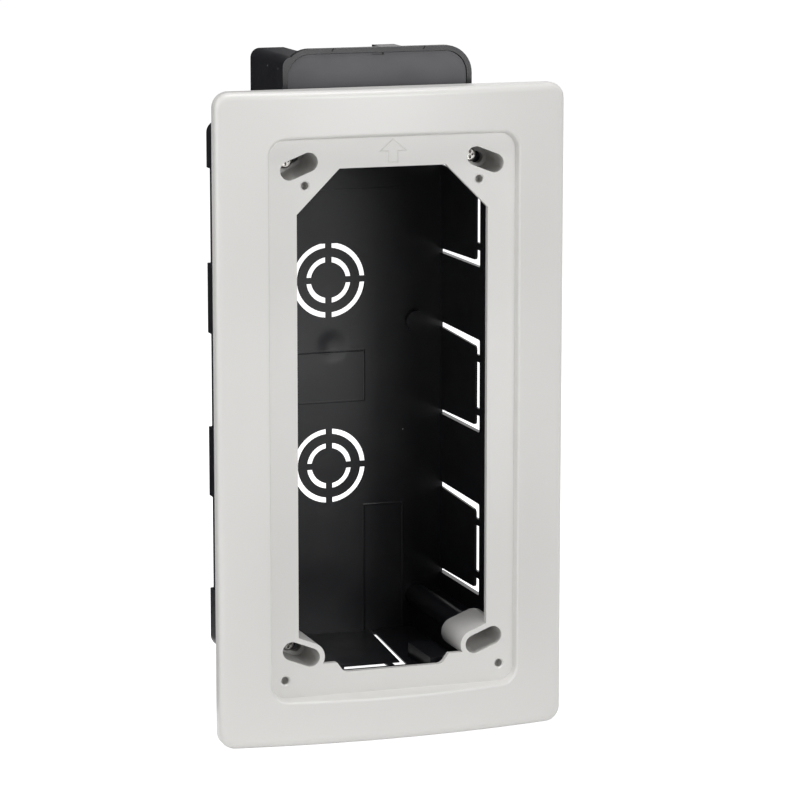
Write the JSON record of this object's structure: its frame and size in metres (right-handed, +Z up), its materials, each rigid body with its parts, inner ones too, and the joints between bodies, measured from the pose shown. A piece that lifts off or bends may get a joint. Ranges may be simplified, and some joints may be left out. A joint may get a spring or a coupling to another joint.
{
  "type": "flush back box",
  "caption": "Deep flush wall box for an upright socket, with knock-outs, a cable chamber above, a bowed cover frame and frame screws.",
  "frame": {"origin": "on the rear face of the box, level with the middle of the four frame screws", "axes": "+Y out of the rear face into the wall, so the open front looks towards -Y; +Z up towards the cable chamber; +X to the right seen from the front"},
  "size_m": [0.148, 0.0955, 0.2826],
  "materials": {
    "black_plastic": "semi-gloss moulded",
    "grey_plastic": "satin moulded",
    "plated_steel": "bright plated"
  },
  "bodies": {
    "root": {"back_box": "black_plastic", "cover_frame": "grey_plastic", "chamber_lid": "black_plastic", "screw_top_left": "plated_steel", "screw_top_right": "plated_steel", "screw_bottom_left": "plated_steel", "screw_bottom_right": "plated_steel"}
  },
  "joints": []
}
